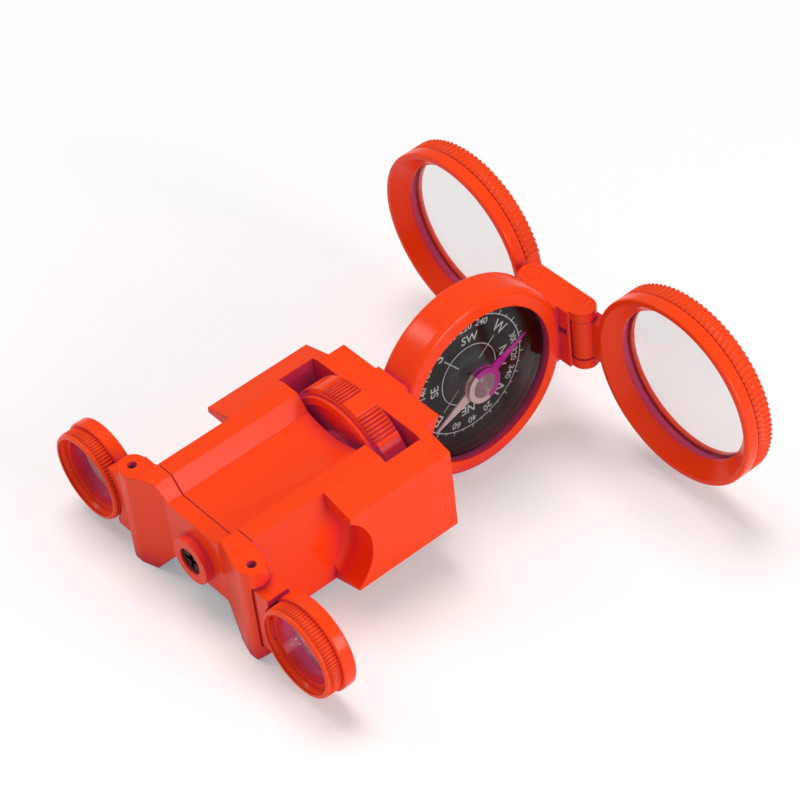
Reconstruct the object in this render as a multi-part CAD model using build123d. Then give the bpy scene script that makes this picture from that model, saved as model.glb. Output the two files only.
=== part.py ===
from build123d import *
import os
from math import sqrt

# Pocket folding field glass with a compass standing on edge between the objectives.
# Millimetres. +X is the direction of view (eyepieces at -X, objectives at +X), +Z is up.
# The origin is the middle of the overall length, midway between the two optical axes
# and at their height.

# ------------------------------------------------------------ driving dimensions
EYE_SPACING = 62.0            # between the two optical axes

# eyepiece rings
EYE_DEPTH = 6.2               # along the optical axis
EYE_HINGE_SETBACK = 2.9       # hinge pin behind the eyepiece's lip
EYE_COLLAR_WALL = 2.2         # round the lens
EYE_HOLDER_STEP = 0.5         # the holder stands out beyond the collar
EYE_COLLAR_DEPTH = 3.3
EYE_LIP = 0.7                 # flat lip round the collar's mouth
EYE_LENS_R = 7.0
EYE_LENS_EDGE = 1.8
EYE_LENS_BULGE = 0.7
EYE_LENS_SETBACK = 4.0        # lens's middle plane behind the lip
EYE_LENS_LEDGE = 0.7
EYE_SPIGOT_WALL = 1.0         # holder's spigot that carries the collar
EYE_SPIGOT_SETBACK = 1.6      # spigot's end, and the taper's end, behind the lip
EYE_COLLAR_GAP = 0.25         # round the collar where the arm passes it
EYE_LUG_R = 1.8
EYE_LUG_GAP = 0.25            # between the lug and the bar's front plate
EYE_LUG_HEIGHT = 14.4

# objective rings
OBJ_DEPTH = 6.5
OBJ_HINGE_SETBACK = 0.3       # hinge pin behind the ring's eye-side lip
OBJ_RING_WALL = 3.3           # round the lens
OBJ_HOLDER_DEPTH = 2.9
OBJ_LIP = 1.2                 # flat lip round the eye-side mouth
OBJ_LENS_R = 16.9
OBJ_LENS_EDGE = 1.5
OBJ_LENS_BULGE = 1.4
OBJ_LENS_SETBACK = 4.3
OBJ_LENS_LEDGE = 0.7
OBJ_SPIGOT_WALL = 1.0         # holder's spigot that carries the bezel
OBJ_LUG_R = 2.6
OBJ_LUG_HEIGHT = 9.2

# eyepiece bar (the focusing carriage)
BAR_THICKNESS = 3.4
BAR_TO_HINGE = 0.3            # bar's front face ahead of the hinge pins
BAR_TOP = 10.9                # top of the hinge ears
BAR_FOOT = 11.5               # underside of the hinge ears, below the axis
BAR_WAIST = 5.7               # underside of the middle of the bar, below the axis
BAR_SEAM = 0.2                # gap to the body when focused right in
BOSS_WALL = 2.1               # round the focus rod
BOSS_HEIGHT = 1.8
BAR_SHOULDER = 1.0            # slope beside the ridge, down to the ear
BAR_HEEL = 2.0                # bevel at the outer foot
BAR_INSTEP = 3.5              # rise of the slope between foot and waist
BAR_WAIST_SLOPE = 2.0
GUIDE_R = 1.6
GUIDE_Y = 8.4
GUIDE_GRIP = 14.0             # left in the body when focused right out
GUIDE_END_GAP = 0.6
FOCUS_TRAVEL = 8.0

# main body
NOSE_LENGTH = 29.4            # body's front face to the wheel slot
NOSE_HALF_WIDTH = 13.6
FOLD_GAP = 0.6                # between a folded eyepiece ring and the nose
WING_WRAP = 6.2               # the notch's round end runs on this far past its middle
WING_MARGIN = 0.2             # the wings stand out beyond a folded eyepiece ring
RIDGE_TOP = 11.6
RIDGE_BOTTOM = 10.8           # underside of the ridges, below the axis
RIDGE_INNER = 9.7
CHANNEL_HALF_WIDTH = 7.0
CHANNEL_DEPTH = 3.2
SIDE_TOP = 9.6
SIDE_BOTTOM = 8.9
SCOOP_R = 19.5                # thumb scoop in the upper channel, ahead of the wheel
SCOOP_DEPTH = 1.3
NOTCH_CLEARANCE = 0.7         # round a folded eyepiece ring
NOTCH_FILLET = 1.5
CORE_HALF_WIDTH = 5.6
CORE_HALF_HEIGHT = 4.2
CORE_END_WALL = 4.0

# focus wheel and its screw
WHEEL_R = 14.8
WHEEL_WIDTH = 6.6
WHEEL_SIDE_GAP = 0.8          # each side of the wheel in its slot
WHEEL_END_GAP = 0.6           # beyond the wheel at each end of the slot
FLANGE_STEP = 1.1             # the flange lies inside the rim
FLANGE_WIDTH = 0.6
RIM_THICKNESS = 2.8
WEB_DEPTH = 1.2
HUB_WALL = 2.2
HUB_SPIGOT = 1.6
ROD_R = 2.8
ROD_RECESS = 0.5
ROD_GRIP = 2.4                # left in the wheel when focused right out
ROD_CLEARANCE = 0.3
ROD_END_GAP = 0.6
CROSS_HALF_LENGTH = 1.9       # cross recess in the rod's end
CROSS_HALF_WIDTH = 0.45
CROSS_DEPTH = 1.2
HUB_END_GAP = 0.3
HUB_FILLET_WIDTH = 1.2        # web left full round the hub

# compass frame, case and capsule
CASE_GAP = 4.4                # between the wheel slot and the case's edge
CASE_R = 20.3
CASE_FRONT = 3.9              # case face ahead of the middle plane
CASE_BACK = 4.3
CASE_FILLET = 1.4
CASE_WALL = 3.5
CASE_FLOOR = 1.5
CAP_LENGTH = 6.9              # solid block behind the wheel slot
CAP_WING_LENGTH = 2.5
WELL_CLEARANCE = 0.7          # round a folded objective ring
WELL_MARGIN = 0.2             # between the wings' rear faces and that room
BRIDGE_LENGTH = 5.2
BRIDGE_HALF_HEIGHT = 7.0
BRIDGE_ROOT = 1.5             # the bridge runs into the case's rim
BRIDGE_PLATE = 0.6            # plate in front of the objective lugs
BRIDGE_PLATE_GAP = 0.25       # between that plate and the lugs
FOLD_CLEARANCE = 0.2          # between that plate's ends and a folded objective ring
BRIDGE_STEP = 0.4             # its neck is thinner than the case, each side
EAR_R = 2.8
LUG_CLEARANCE = 0.4           # round a hinge lug
HINGE_PAST_CASE = 2.7         # objective hinge pins behind the case's edge
LANYARD_SLOT = (4.0, 1.4, 1.2)   # length, height, depth of the slot in the bridge's face
LANYARD_Z = 0.8
CUP_GAP = 0.1                 # between the cup and the case
CUP_WALL = 0.8
CUP_RIM = 2.2                 # cup rim ahead of the middle plane
DIAL_GAP = 0.3
DIAL_THICKNESS = 0.4
DIAL_FACE = -0.4              # dial face ahead of the middle plane
COVER_THICKNESS = 0.7
COVER_RISE = 3.4
COVER_GAP = 0.3               # between the cover and a folded objective ring
NEEDLE_PLANE = 3.0
NEEDLE_THICKNESS = 0.3
NEEDLE_GAP = 3.0              # between the needle's tips and the cup's wall
NEEDLE_ROOT_HALF_WIDTH = 1.3
NEEDLE_TIP_HALF_WIDTH = 0.15
NEEDLE_ANGLE = 23.7           # rest direction of the north end, from +X towards +Z
HUB_RING_R = 3.9
CAP_R = 2.2
CAP_HEIGHT = 1.5
CAP_BORE = 1.0
PIVOT_R = 0.45
PIVOT_POINT = 0.8             # length of the pivot's tapered point
PIVOT_POINT_R = 0.05

# pins, screws and fits
PIN_R = 0.9
PIN_HEAD_R = 1.7
PIN_HEAD = 0.6
PIN_RECESS = 1.2
SCREW_R = 0.9
SCREW_HEAD_R = 1.6
SCREW_HEAD = 1.2
SCREW_REACH = 6.0
SCREW_END_GAP = 0.4
SCREW_SINK = 0.2              # the heads lie below the surface
SCREW_SLOT_DEPTH = 0.6
SCREW_SLOT_HALF_LENGTH = 1.1
SCREW_SLOT_HALF_WIDTH = 0.2
SCREW_Y = 18.0
SCREW_Z = 4.6
RUNNING = 0.06                # radial clearance of a shaft in a hole
SLIDING = 0.08                # radial clearance of the guide posts
SIDE_PLAY = 0.3               # between a hinge lug and its ears
SEAT_PLAY = 0.15              # each side of a lens's edge in its groove
EDGE = 0.5                    # broken edges
MERGE = 0.5                   # features of one solid run into each other by this

# ------------------------------------------------------------ sizes that follow from those
lens_y = EYE_SPACING / 2
eye_hinge_y = NOSE_HALF_WIDTH + FOLD_GAP + EYE_DEPTH - EYE_HINGE_SETBACK
cover_front = CUP_RIM + COVER_RISE + COVER_THICKNESS
obj_hinge_y = cover_front + COVER_GAP + OBJ_HINGE_SETBACK
eye_arm = lens_y - eye_hinge_y
eye_arm_behind = EYE_DEPTH - EYE_HINGE_SETBACK - EDGE / 2
obj_arm = lens_y - obj_hinge_y
wing_half_width = eye_hinge_y + EYE_HINGE_SETBACK + WING_MARGIN
eye_collar_r = EYE_LENS_R + EYE_COLLAR_WALL
eye_holder_r = eye_collar_r + EYE_HOLDER_STEP
obj_ring_r = OBJ_LENS_R + OBJ_RING_WALL
obj_aperture_r = OBJ_LENS_R - OBJ_LENS_LEDGE
well_r = obj_ring_r + WELL_CLEARANCE

# ------------------------------------------------------------ stations along X
eye_lip = 0.0
eye_hinge = eye_lip + EYE_HINGE_SETBACK
bar_front = eye_hinge - BAR_TO_HINGE
bar_rear = bar_front + BAR_THICKNESS
body_front = bar_rear + BAR_SEAM
slot_front = body_front + NOSE_LENGTH
slot_rear = slot_front + WHEEL_WIDTH + 2 * WHEEL_SIDE_GAP
compass_x = slot_rear + CASE_GAP + CASE_R
hinge_past_case = compass_x + CASE_R + HINGE_PAST_CASE
hinge_past_well = slot_rear + CAP_WING_LENGTH + WELL_MARGIN + well_r + obj_arm
obj_hinge = max(hinge_past_case, hinge_past_well)
obj_lip = obj_hinge - OBJ_HINGE_SETBACK
obj_end = obj_lip + OBJ_DEPTH
foremost = min(eye_lip, bar_front - BOSS_HEIGHT, eye_hinge - EAR_R)
middle = (foremost + obj_end) / 2
eye_lip, eye_hinge, bar_front, bar_rear, body_front = (
    s - middle for s in (eye_lip, eye_hinge, bar_front, bar_rear, body_front))
slot_front, slot_rear, compass_x, obj_hinge, obj_lip, obj_end = (
    s - middle for s in (slot_front, slot_rear, compass_x, obj_hinge, obj_lip, obj_end))

# ------------------------------------------------------------ sizes that follow from the stations
notch_x = eye_hinge + eye_arm
notch_r = eye_holder_r + NOTCH_CLEARANCE
wing_front = notch_x + WING_WRAP
wheel_front = slot_front + WHEEL_SIDE_GAP
wheel_rear = wheel_front + WHEEL_WIDTH
slot_half_length = WHEEL_R + WHEEL_END_GAP
guide_end = body_front + FOCUS_TRAVEL + GUIDE_GRIP
rod_end = wheel_front + FOCUS_TRAVEL + ROD_GRIP
eye_spigot_r = EYE_LENS_R + EYE_SPIGOT_WALL
obj_spigot_r = OBJ_LENS_R + OBJ_SPIGOT_WALL
obj_groove_end = obj_lip + OBJ_LENS_SETBACK + OBJ_LENS_EDGE / 2
hub_r = ROD_R + HUB_WALL
boss_r = ROD_R + BOSS_WALL
window_r = CASE_R - CASE_WALL
cup_r = window_r - CUP_GAP
dial_r = cup_r - CUP_WALL - DIAL_GAP
needle_reach = cup_r - CUP_WALL - NEEDLE_GAP
FAR = 60.0                    # beyond everything


# ------------------------------------------------------------ solids of common use
def along_x(radius, start, end, y=0.0, z=0.0):
    return Pos((start + end) / 2, y, z) * Rot(0, 90, 0) * Cylinder(radius, end - start)


def along_y(radius, start, end, x=0.0, z=0.0):
    return Pos(x, (start + end) / 2, z) * Rot(90, 0, 0) * Cylinder(radius, end - start)


def along_z(radius, start, end, x=0.0, y=0.0):
    return Pos(x, y, (start + end) / 2) * Cylinder(radius, end - start)


def block(x0, x1, y0, y1, z0, z1):
    return Pos((x0 + x1) / 2, (y0 + y1) / 2, (z0 + z1) / 2) * Box(x1 - x0, y1 - y0, z1 - z0)


def section(points, start, end):
    face = make_face(Polyline(*points, close=True))
    return extrude(Plane.YZ.offset(start) * face, end - start)


def ring_x(outer, inner, start, end, y=0.0, z=0.0):
    return along_x(outer, start, end, y, z) - along_x(inner, start - 1, end + 1, y, z)


def lens_x(radius, middle_x, thickness, bulge, y):
    """A biconvex lens: its edge is `thickness` wide, each face rises by `bulge`."""
    curve = (radius ** 2 + bulge ** 2) / (2 * bulge)
    half = thickness / 2
    blank = along_x(radius, middle_x - half - bulge - 1, middle_x + half + bulge + 1, y)
    front = Pos(middle_x - half - bulge + curve, y, 0) * Sphere(curve)
    rear = Pos(middle_x + half + bulge - curve, y, 0) * Sphere(curve)
    return blank & front & rear


def mirrored(shape):
    return mirror(shape, Plane.XZ)


# ------------------------------------------------------------ main body
def body_section(half_width, channel):
    """Cross-section of the body at one half-width, with or without the middle channels."""
    inner = NOSE_HALF_WIDTH
    right = []
    if channel:
        right += [(CHANNEL_HALF_WIDTH, RIDGE_TOP - CHANNEL_DEPTH), (RIDGE_INNER, RIDGE_TOP)]
    right += [(inner, RIDGE_TOP)]
    if half_width > inner:
        right += [(half_width, SIDE_TOP), (half_width, -SIDE_BOTTOM)]
    right += [(inner, -RIDGE_BOTTOM)]
    if channel:
        right += [(RIDGE_INNER, -RIDGE_BOTTOM), (CHANNEL_HALF_WIDTH, CHANNEL_DEPTH - RIDGE_BOTTOM)]
    left = [(-y, z) for y, z in reversed(right)]
    return right + left


def scoop():
    """Round groove along the upper channel, level at the front and deepest at the wheel."""
    floor = RIDGE_TOP - CHANNEL_DEPTH
    length = slot_front - body_front
    tilt = Plane(origin=(body_front, 0, floor + SCOOP_R), x_dir=(0, 1, 0),
                 z_dir=(length, 0, -SCOOP_DEPTH))
    groove = extrude(tilt * Circle(SCOOP_R), length * 1.5)
    above = block(body_front - 1, slot_front + 1, -RIDGE_INNER, RIDGE_INNER, 0, floor)
    return groove & above


def eyepiece_notches():
    """Room beside the nose for the folded eyepiece rings."""
    front = body_front - 1
    gap = block(front, wing_front, NOSE_HALF_WIDTH, FAR, -FAR, FAR)
    gap += along_y(notch_r, NOSE_HALF_WIDTH, FAR, notch_x)
    edge = gap.edges().filter_by(GeomType.CIRCLE).filter_by_position(
        Axis.Y, NOSE_HALF_WIDTH - 0.1, NOSE_HALF_WIDTH + 0.1)
    gap = fillet(edge, NOTCH_FILLET)
    return gap + mirrored(gap)


def main_body():
    body = section(body_section(wing_half_width, True), body_front, slot_rear)
    body -= scoop()
    body -= eyepiece_notches()
    body -= block(slot_front, slot_rear + 1, -slot_half_length, slot_half_length, -FAR, FAR)
    core_end = slot_front - CORE_END_WALL
    body -= block(body_front - 1, core_end, -CORE_HALF_WIDTH, CORE_HALF_WIDTH,
                  -CORE_HALF_HEIGHT, CORE_HALF_HEIGHT)
    body -= along_x(ROD_R + ROD_CLEARANCE, body_front - 1, slot_front + 1)
    body -= along_x(hub_r + RUNNING, wheel_front - HUB_SPIGOT - HUB_END_GAP, slot_front + 1)
    for side in (-1, 1):
        body -= along_x(GUIDE_R + SLIDING, body_front - 1, guide_end + GUIDE_END_GAP, side * GUIDE_Y)
        for level in (-1, 1):
            body -= along_x(SCREW_R, slot_rear - SCREW_REACH, slot_rear + 1,
                            side * SCREW_Y, level * SCREW_Z)
    return body


# ------------------------------------------------------------ compass frame
def compass_frame():
    """Rear block, round compass case and objective bridge, moulded as one piece."""
    cap_end = slot_rear + CAP_LENGTH
    wing_end = slot_rear + CAP_WING_LENGTH
    frame = section(body_section(wing_half_width, False), slot_rear, wing_end)
    frame += section(body_section(NOSE_HALF_WIDTH, False), slot_rear, cap_end)
    well = along_y(well_r, -FAR, FAR, obj_hinge - obj_arm)
    web = block(-FAR, FAR, -CASE_FRONT, CASE_BACK, -FAR, FAR)
    frame -= well - web
    case = along_y(CASE_R, -CASE_FRONT, CASE_BACK, compass_x)
    case = fillet(case.edges().filter_by(GeomType.CIRCLE), CASE_FILLET)
    frame += case
    frame += bridge()
    frame -= along_y(window_r, -CASE_FRONT - 1, CASE_BACK - CASE_FLOOR, compass_x)
    frame -= along_x(ROD_R + ROD_CLEARANCE, slot_rear - 1, rod_end + ROD_END_GAP)
    frame -= along_x(hub_r + RUNNING, slot_rear - 1, wheel_rear + HUB_SPIGOT + HUB_END_GAP)
    for side in (-1, 1):
        for level in (-1, 1):
            y = side * SCREW_Y
            z = level * SCREW_Z
            frame -= along_x(SCREW_R, slot_rear - 1, wing_end + 1, y, z)
            frame -= along_x(SCREW_HEAD_R, wing_end - SCREW_HEAD, wing_end + 1, y, z)
    return frame


def bridge():
    """Cross block that carries the two objective hinges between pairs of ears."""
    rear = obj_hinge + EAR_R
    front = rear - BRIDGE_LENGTH
    reach = compass_x + sqrt(CASE_R ** 2 - BRIDGE_HALF_HEIGHT ** 2) - BRIDGE_ROOT
    height = BRIDGE_HALF_HEIGHT
    bar = block(front, rear, -obj_hinge_y, obj_hinge_y, -height, height)
    bar += block(reach, rear, BRIDGE_STEP - CASE_FRONT, CASE_BACK - BRIDGE_STEP, -height, height)
    gap = OBJ_LUG_HEIGHT / 2 + SIDE_PLAY
    for side in (-1, 1):
        y = side * obj_hinge_y
        bar += along_z(EAR_R, -height, height, obj_hinge, y)
        near, far = sorted((y - side * (OBJ_LUG_R + LUG_CLEARANCE), side * FAR))
        bar -= block(front - 1, rear + 1, near, far, -gap, gap)
        bar -= along_z(PIN_R, -height + PIN_RECESS, height + 1, obj_hinge, y)
        bar -= along_z(PIN_HEAD_R, height - PIN_HEAD, height + 1, obj_hinge, y)
    plate_rear = obj_hinge - OBJ_LUG_R - BRIDGE_PLATE_GAP
    plate_front = plate_rear - BRIDGE_PLATE
    half = obj_hinge_y - OBJ_HINGE_SETBACK - FOLD_CLEARANCE
    bar += block(plate_front, plate_rear, -half, half, -height, height)
    bar += block(plate_front, front + MERGE, -half, half, gap, height)
    bar += block(plate_front, front + MERGE, -half, half, -height, -gap)
    length, tall, deep = LANYARD_SLOT
    bar -= block(plate_front - 1, plate_front + deep, -CASE_FRONT - length / 2, -CASE_FRONT + length / 2,
                 LANYARD_Z, LANYARD_Z + tall)
    return bar


def frame_screws():
    wing_end = slot_rear + CAP_WING_LENGTH
    top = wing_end - SCREW_SINK
    wide = SCREW_SLOT_HALF_LENGTH
    tall = SCREW_SLOT_HALF_WIDTH
    screws = []
    for side in (-1, 1):
        for level in (-1, 1):
            y = side * SCREW_Y
            z = level * SCREW_Z
            screw = along_x(SCREW_R, slot_rear - SCREW_REACH + SCREW_END_GAP, wing_end - SCREW_HEAD, y, z)
            screw += along_x(SCREW_HEAD_R, wing_end - SCREW_HEAD, top, y, z)
            screw -= block(top - SCREW_SLOT_DEPTH, wing_end, y - wide, y + wide, z - tall, z + tall)
            screw -= block(top - SCREW_SLOT_DEPTH, wing_end, y - tall, y + tall, z - wide, z + wide)
            screws.append(screw)
    return screws


# ------------------------------------------------------------ compass capsule
def compass_cup():
    back = CASE_BACK - CASE_FLOOR
    cup = along_y(cup_r, -CUP_RIM, back, compass_x)
    cup -= along_y(cup_r - CUP_WALL, -CUP_RIM - 1, -DIAL_FACE + DIAL_THICKNESS, compass_x)
    return cup


def compass_dial():
    face = -DIAL_FACE
    dial = along_y(dial_r, face, face + DIAL_THICKNESS, compass_x)
    return dial - along_y(PIVOT_R, face - 1, face + DIAL_THICKNESS + 1, compass_x)


def compass_cover():
    """Clear domed cover that sits on the cup's rim."""
    curve = (cup_r ** 2 + COVER_RISE ** 2) / (2 * COVER_RISE)
    centre = Pos(compass_x, curve - CUP_RIM - COVER_RISE, 0)
    blank = along_y(cup_r, -FAR / 2, -CUP_RIM, compass_x)
    outer = centre * Sphere(curve + COVER_THICKNESS)
    inner = centre * Sphere(curve)
    return (blank & outer) - inner


def pivot_pin():
    face = -DIAL_FACE
    pin = along_y(PIVOT_R, -NEEDLE_PLANE, face + DIAL_THICKNESS, compass_x)
    point = Rot(90, 0, 0) * Cone(PIVOT_R, PIVOT_POINT_R, PIVOT_POINT)
    return pin + Pos(compass_x, -NEEDLE_PLANE - PIVOT_POINT / 2, 0) * point


def blade(direction):
    """One pointed half of the needle, from the hub ring to the tip."""
    root = HUB_RING_R - MERGE
    tip = NEEDLE_TIP_HALF_WIDTH
    outline = Polyline((root, -NEEDLE_ROOT_HALF_WIDTH), (needle_reach, -tip), (needle_reach, tip),
                       (root, NEEDLE_ROOT_HALF_WIDTH), close=True)
    plate = extrude(make_face(outline), NEEDLE_THICKNESS / 2, both=True)
    plate -= Cylinder(HUB_RING_R, 4)
    turned = Rot(90, 0, 0) * Rot(0, 0, direction) * plate
    return Pos(compass_x, -NEEDLE_PLANE, 0) * turned


def needle_hub():
    """Round hub ring with the bearing cap that rides on the pivot."""
    half = NEEDLE_THICKNESS / 2
    hub = along_y(HUB_RING_R, -NEEDLE_PLANE - half, -NEEDLE_PLANE + half, compass_x)
    hub += along_y(CAP_R, -NEEDLE_PLANE - CAP_HEIGHT, -NEEDLE_PLANE + half, compass_x)
    return hub - along_y(PIVOT_R + RUNNING, -NEEDLE_PLANE - CAP_BORE, 0, compass_x)


# ------------------------------------------------------------ focusing carriage
def bar_section():
    """Front outline of the eyepiece bar, following the body's top section."""
    ear = eye_hinge_y + EAR_R
    right = [(CHANNEL_HALF_WIDTH, RIDGE_TOP - CHANNEL_DEPTH), (RIDGE_INNER, RIDGE_TOP),
             (NOSE_HALF_WIDTH, RIDGE_TOP), (NOSE_HALF_WIDTH + BAR_SHOULDER, BAR_TOP), (ear, BAR_TOP),
             (ear, BAR_HEEL - BAR_FOOT), (ear - BAR_HEEL, -BAR_FOOT),
             (NOSE_HALF_WIDTH - BAR_SHOULDER, -BAR_FOOT), (RIDGE_INNER, BAR_INSTEP - BAR_FOOT),
             (RIDGE_INNER - BAR_WAIST_SLOPE, -BAR_WAIST)]
    return right + [(-y, z) for y, z in reversed(right)]


def eyepiece_bar():
    ear_front = eye_hinge - EAR_R
    bar = section(bar_section(), ear_front, bar_rear)
    bar -= front_relief(ear_front)
    bar += along_x(boss_r, bar_front - BOSS_HEIGHT, bar_front + MERGE)
    gap = EYE_LUG_HEIGHT / 2 + SIDE_PLAY
    plate_rear = eye_hinge - EYE_LUG_R - EYE_LUG_GAP
    for side in (-1, 1):
        y = side * eye_hinge_y
        near, far = sorted((side * (eye_hinge_y - eye_arm_behind - LUG_CLEARANCE), side * FAR))
        bar -= block(plate_rear, bar_rear + 1, near, far, -gap, gap)
        near, far = sorted((side * eye_hinge_y, side * FAR))
        round_end = block(ear_front - 1, bar_rear + 1, near, far, -FAR, FAR)
        bar -= round_end - along_z(EAR_R, -FAR, FAR, eye_hinge, y)
        bar -= along_z(PIN_R, -BAR_FOOT + PIN_RECESS, BAR_TOP + 1, eye_hinge, y)
        bar += along_x(GUIDE_R, bar_rear - MERGE, guide_end, side * GUIDE_Y)
    bar -= along_x(ROD_R, bar_front - BOSS_HEIGHT - 1, bar_rear + 1)
    return bar


def front_relief(ear_front):
    """Sets the middle of the bar back from the hinge ears, with a rounded run-out."""
    start = CHANNEL_HALF_WIDTH + BAR_SHOULDER
    depth = bar_front - ear_front
    side = eye_hinge_y - EAR_R / 2
    points = [(ear_front - 1, -side), (ear_front, -side), (bar_front, -start),
              (bar_front, start), (ear_front, side), (ear_front - 1, side)]
    face = make_face(Polyline(*points, close=True))
    cut = extrude(Plane.XY.offset(-FAR) * face, 2 * FAR)
    run_out = cut.edges().filter_by(Axis.Z).filter_by_position(
        Axis.X, bar_front - 0.1, bar_front + 0.1)
    return fillet(run_out, depth)


def focus_rod():
    """Screw rod fixed in the bar's boss, with a cross recess in its front end."""
    front = bar_front - BOSS_HEIGHT + ROD_RECESS
    rod = along_x(ROD_R, front, rod_end)
    wide = CROSS_HALF_LENGTH
    tall = CROSS_HALF_WIDTH
    rod -= block(front - 1, front + CROSS_DEPTH, -wide, wide, -tall, tall)
    return rod - block(front - 1, front + CROSS_DEPTH, -tall, tall, -wide, wide)


def eyepiece_pins():
    low = -BAR_FOOT + PIN_RECESS
    high = BAR_TOP - PIN_RECESS
    return [along_z(PIN_R, low, high, eye_hinge, side * eye_hinge_y) for side in (-1, 1)]


def objective_pins():
    low = -BRIDGE_HALF_HEIGHT + PIN_RECESS
    high = BRIDGE_HALF_HEIGHT - PIN_HEAD
    pins = []
    for side in (-1, 1):
        y = side * obj_hinge_y
        pin = along_z(PIN_R, low, high, obj_hinge, y)
        pins.append(pin + along_z(PIN_HEAD_R, high, BRIDGE_HALF_HEIGHT, obj_hinge, y))
    return pins


def focus_wheel():
    """Thumb wheel: rim with a thin flange, recessed web and two hub spigots."""
    wheel = along_x(WHEEL_R, wheel_front + FLANGE_WIDTH, wheel_rear)
    wheel = chamfer(wheel.edges().filter_by(GeomType.CIRCLE), EDGE)
    wheel += along_x(WHEEL_R - FLANGE_STEP, wheel_front, wheel_front + FLANGE_WIDTH + MERGE)
    rim = WHEEL_R - RIM_THICKNESS
    inner = hub_r + HUB_FILLET_WIDTH
    recess = ring_x(rim, inner, wheel_front - 1, wheel_front + WEB_DEPTH)
    recess += ring_x(rim, inner, wheel_rear - WEB_DEPTH, wheel_rear + 1)
    wheel -= recess
    wheel += along_x(hub_r, wheel_front - HUB_SPIGOT, wheel_rear + HUB_SPIGOT)
    return wheel - along_x(ROD_R + RUNNING, wheel_front - FAR, wheel_rear + FAR)


# ------------------------------------------------------------ eyepieces
def eyepiece_holder():
    """Smooth rear ring of the right-hand eyepiece with its arm and hinge lug."""
    y = -lens_y
    start = eye_lip + EYE_COLLAR_DEPTH
    end = eye_lip + EYE_DEPTH
    half = EYE_LUG_HEIGHT / 2
    holder = along_x(eye_holder_r, start, end, y)
    holder = fillet(holder.edges().filter_by(GeomType.CIRCLE), EDGE)
    holder += along_z(EYE_LUG_R, -half, half, eye_hinge, -eye_hinge_y)
    arm_end = eye_hinge + eye_arm_behind
    holder += block(eye_hinge - EYE_LUG_R, arm_end, y + EYE_LENS_R + MERGE, -eye_hinge_y, -half, half)
    holder += along_x(eye_spigot_r, eye_lip + EYE_SPIGOT_SETBACK, start + MERGE, y)
    seat = eye_lip + EYE_LENS_SETBACK + EYE_LENS_EDGE / 2 + SEAT_PLAY
    holder -= ring_x(eye_collar_r + EYE_COLLAR_GAP, eye_spigot_r, eye_lip - 1, start, y)
    holder -= along_x(EYE_LENS_R, eye_lip - 1, seat, y)
    holder -= along_x(EYE_LENS_R - EYE_LENS_LEDGE, eye_lip - 1, end + 1, y)
    return holder - along_z(PIN_R + RUNNING, -FAR, FAR, eye_hinge, -eye_hinge_y)


def eyepiece_collar():
    """Knurled collar on the holder's spigot; its tapered bore leads to the lens."""
    y = -lens_y
    end = eye_lip + EYE_COLLAR_DEPTH
    collar = along_x(eye_collar_r, eye_lip, end, y)
    collar = chamfer(collar.edges().filter_by(GeomType.CIRCLE).sort_by(Axis.X)[:1], EDGE)
    depth = EYE_SPIGOT_SETBACK
    taper = Rot(0, 90, 0) * Cone(eye_collar_r - EYE_LIP, eye_spigot_r, depth)
    collar -= Pos(eye_lip + depth / 2, y, 0) * taper
    return collar - along_x(eye_spigot_r, eye_lip + depth, end + 1, y)


def eyepiece_lens():
    return lens_x(EYE_LENS_R, eye_lip + EYE_LENS_SETBACK, EYE_LENS_EDGE, EYE_LENS_BULGE, -lens_y)


# ------------------------------------------------------------ objectives
def objective_holder():
    """Smooth eye-side ring of the right-hand objective with its arm and hinge lug."""
    y = -lens_y
    end = obj_lip + OBJ_HOLDER_DEPTH
    groove = obj_lip + OBJ_LENS_SETBACK - OBJ_LENS_EDGE / 2 - SEAT_PLAY
    half = OBJ_LUG_HEIGHT / 2
    holder = along_x(obj_ring_r, obj_lip, end, y)
    holder = fillet(holder.edges().filter_by(GeomType.CIRCLE), EDGE)
    holder += along_z(OBJ_LUG_R, -half, half, obj_hinge, -obj_hinge_y)
    arm_front = max(obj_lip, obj_hinge - OBJ_LUG_R)
    holder += block(arm_front, obj_hinge + OBJ_LUG_R, y + obj_spigot_r, -obj_hinge_y, -half, half)
    holder += along_x(obj_spigot_r, end - MERGE, obj_groove_end, y)
    taper = end - obj_lip
    cone = Rot(0, 90, 0) * Cone(obj_ring_r - OBJ_LIP, obj_aperture_r, taper)
    holder -= Pos(obj_lip + taper / 2, y, 0) * cone
    holder -= along_x(obj_aperture_r, obj_lip - 1, obj_end + 1, y)
    holder -= along_x(OBJ_LENS_R, groove, obj_end + 1, y)
    return holder - along_z(PIN_R + RUNNING, -FAR, FAR, obj_hinge, -obj_hinge_y)


def objective_bezel():
    """Knurled far-side ring that screws over the holder and traps the lens."""
    y = -lens_y
    start = obj_lip + OBJ_HOLDER_DEPTH
    bezel = along_x(obj_ring_r, start, obj_end, y)
    bezel = chamfer(bezel.edges().filter_by(GeomType.CIRCLE), EDGE)
    lug_end = obj_hinge + OBJ_LUG_R + LUG_CLEARANCE / 4
    half = OBJ_LUG_HEIGHT / 2 + LUG_CLEARANCE / 2
    bezel -= block(start - 1, lug_end, y + OBJ_LENS_R, FAR, -half, half)
    bezel -= along_x(obj_spigot_r, start - 1, obj_groove_end + SEAT_PLAY, y)
    return bezel - along_x(obj_aperture_r, start - 1, obj_end + 1, y)


def objective_lens():
    return lens_x(OBJ_LENS_R, obj_lip + OBJ_LENS_SETBACK, OBJ_LENS_EDGE, OBJ_LENS_BULGE, -lens_y)


# ------------------------------------------------------------ export
def save(name, shape):
    if isinstance(shape, list):
        shape = Compound(children=shape)
    export_step(shape, f"parts/{name}.step")


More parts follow.
